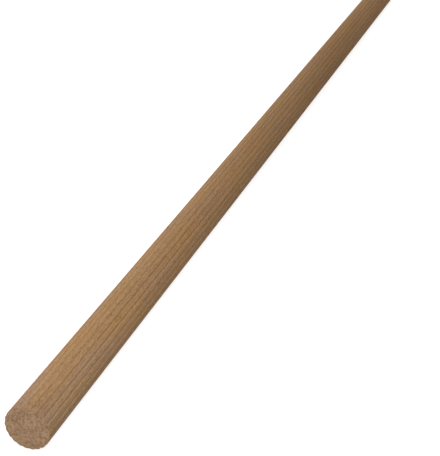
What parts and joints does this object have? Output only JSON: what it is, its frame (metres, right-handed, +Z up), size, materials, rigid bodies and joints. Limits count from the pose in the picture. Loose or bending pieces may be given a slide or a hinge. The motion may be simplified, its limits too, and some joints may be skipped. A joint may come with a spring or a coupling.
{
  "type": "fluted dowel rod",
  "caption": "Straight round hardwood dowel rod with shallow rounded flutes along its whole length and square-sawn ends.",
  "frame": {"origin": "centre of the rod: on its axis, half way along it", "axes": "+X along the rod's axis, from one sawn end to the other; +Z up, through the middle of the top flute, with the rod lying on the two lands beside the bottom flute; +Y completes the frame, through the middle of a land"},
  "size_m": [0.5, 0.01, 0.01],
  "materials": {
    "hardwood": "raw, unfinished straight-grained hardwood, planed along the grain, sawn across it at the ends"
  },
  "bodies": {
    "root": {"dowel": "hardwood"}
  },
  "joints": []
}
